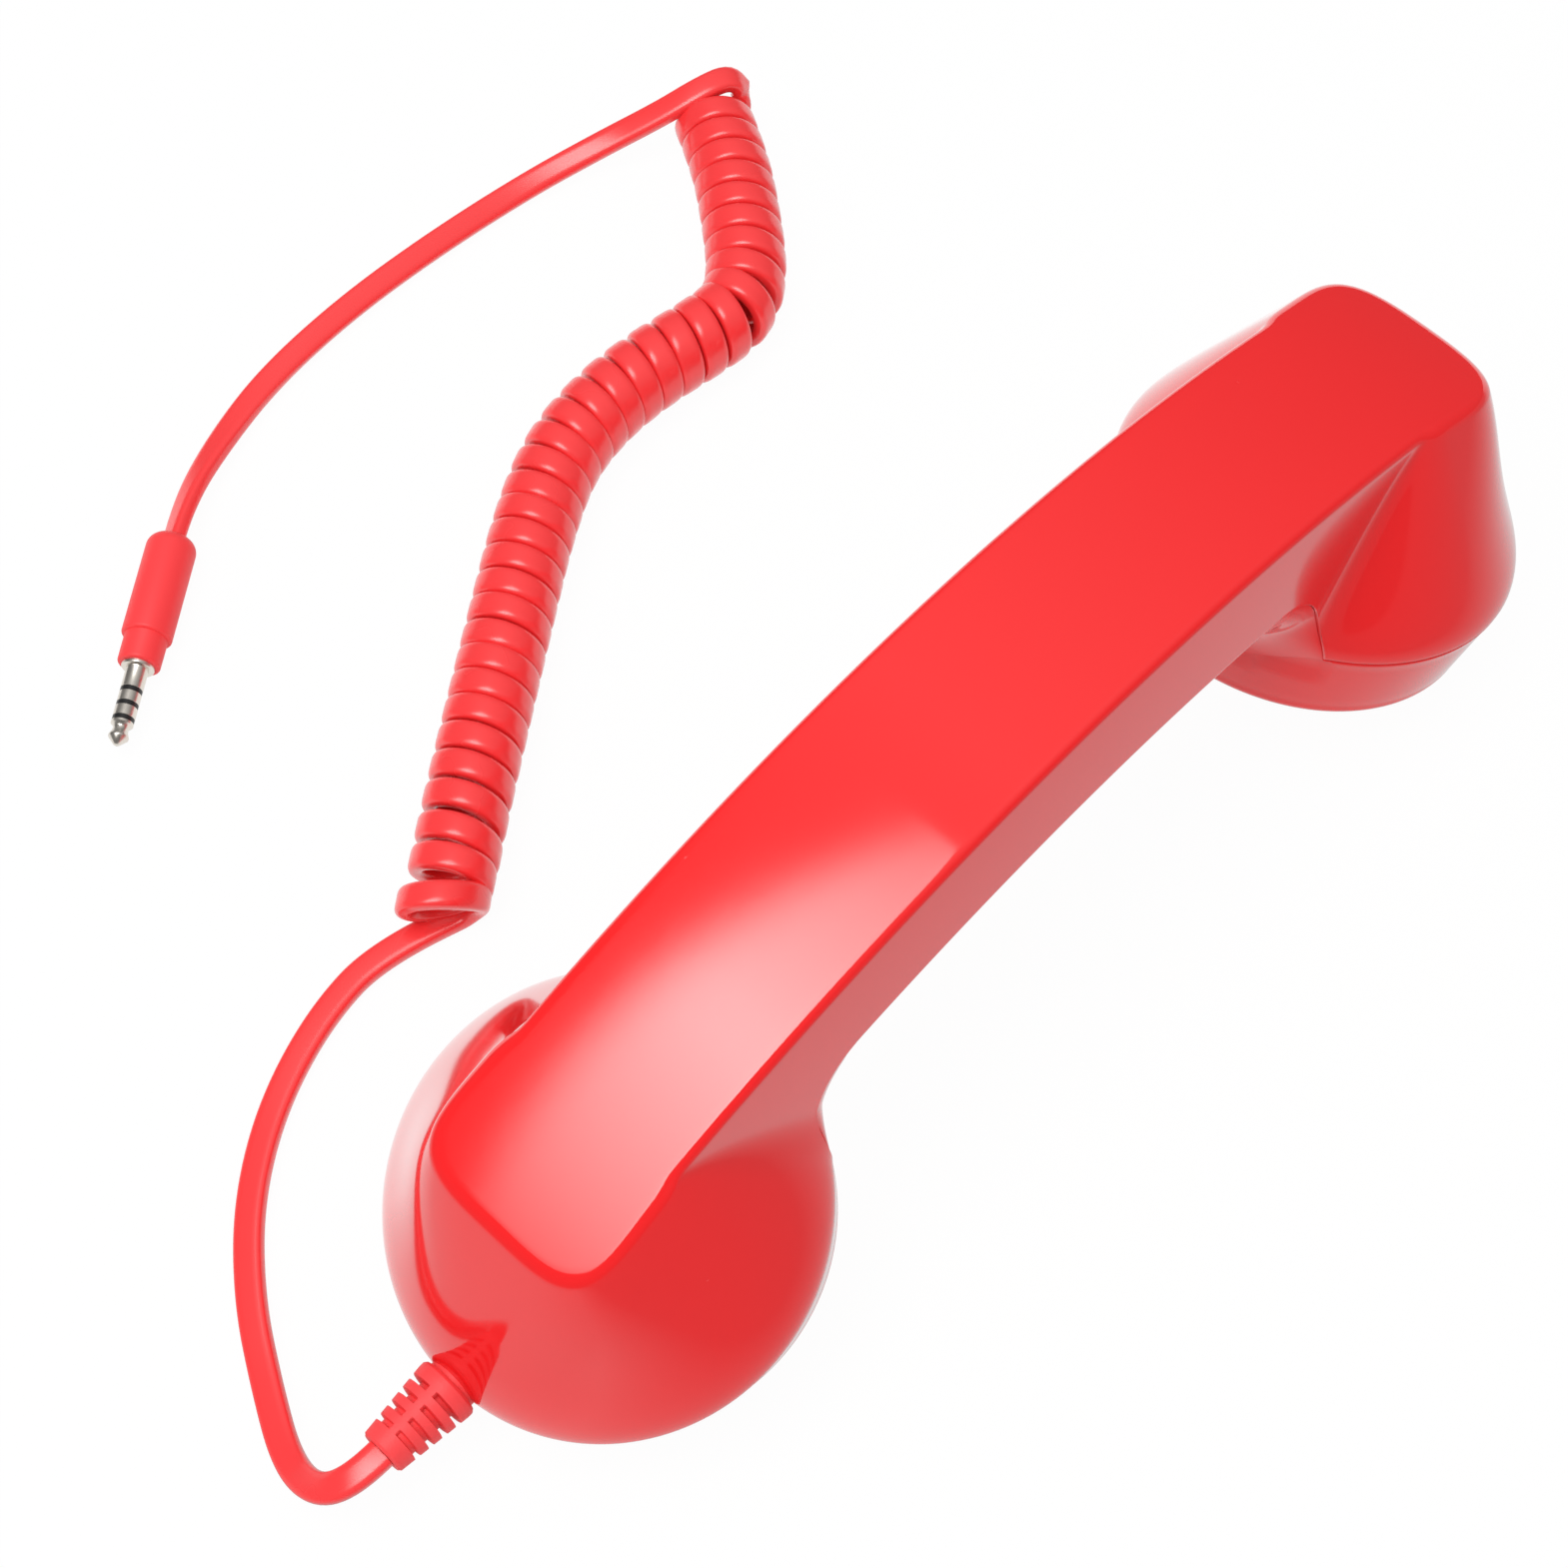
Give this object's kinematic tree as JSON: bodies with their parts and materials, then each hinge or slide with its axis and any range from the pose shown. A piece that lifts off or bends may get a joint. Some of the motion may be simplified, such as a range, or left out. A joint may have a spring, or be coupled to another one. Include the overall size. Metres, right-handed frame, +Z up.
{
  "type": "telephone handset",
  "caption": "Glossy red telephone handset with perforated earpiece and mouthpiece caps, a curly cord from the mouthpiece and a 3.5 mm plug at its end.",
  "frame": {"origin": "on the surface that the handset lies on, midway between the two cups", "axes": "+X along the handle to the earpiece, +Y across the handle to the side where the cord lies, +Z up"},
  "size_m": [0.236, 0.1807, 0.0701],
  "materials": {
    "gloss_shell": "high gloss",
    "gloss_cap": "high gloss",
    "screw_steel": "plated",
    "foam": "matte foam",
    "pressed_steel": "plated",
    "paper_cone": "matte paper",
    "magnet": "plain",
    "soft_rubber": "matte",
    "capsule_can": "satin",
    "weight_steel": "plain",
    "board": "satin",
    "switch_plastic": "matte",
    "button_plastic": "gloss",
    "relief_plastic": "satin",
    "crimp_metal": "plain",
    "cord_jacket": "satin",
    "lead_jacket": "satin",
    "plug_moulding": "satin",
    "plug_nickel": "polished",
    "plug_insulator": "satin"
  },
  "bodies": {
    "handset": {"outer_shell": "gloss_shell", "inner_shell": "gloss_shell", "shell_screws": "screw_steel", "earpiece_cap": "gloss_cap", "mouthpiece_cap": "gloss_cap", "speaker_gasket": "foam", "speaker_frame": "pressed_steel", "speaker_cone": "paper_cone", "speaker_magnet": "magnet", "microphone_boot": "soft_rubber", "microphone_capsule": "capsule_can", "weight_bar": "weight_steel", "weight_screws": "screw_steel", "circuit_board": "board", "board_screws": "screw_steel", "button_switch": "switch_plastic", "strain_relief": "relief_plastic", "cord_crimp": "crimp_metal", "inner_cord": "cord_jacket", "speaker_lead": "lead_jacket", "cord_tail": "cord_jacket", "cord_coil": "cord_jacket", "cord_plug_tail": "cord_jacket", "plug_body": "plug_moulding", "plug_sleeve": "plug_nickel", "plug_rings": "plug_nickel", "plug_insulators": "plug_insulator", "plug_tip": "plug_nickel"},
    "button": {"answer_button": "button_plastic"}
  },
  "joints": [
    {"name": "button_press", "type": "slide", "parent": "handset", "child": "button", "axis": [0, 0, 1], "range_m": [0, 0.0005], "stiffness_N_per_m": 400, "springref_m": -0.001}
  ]
}
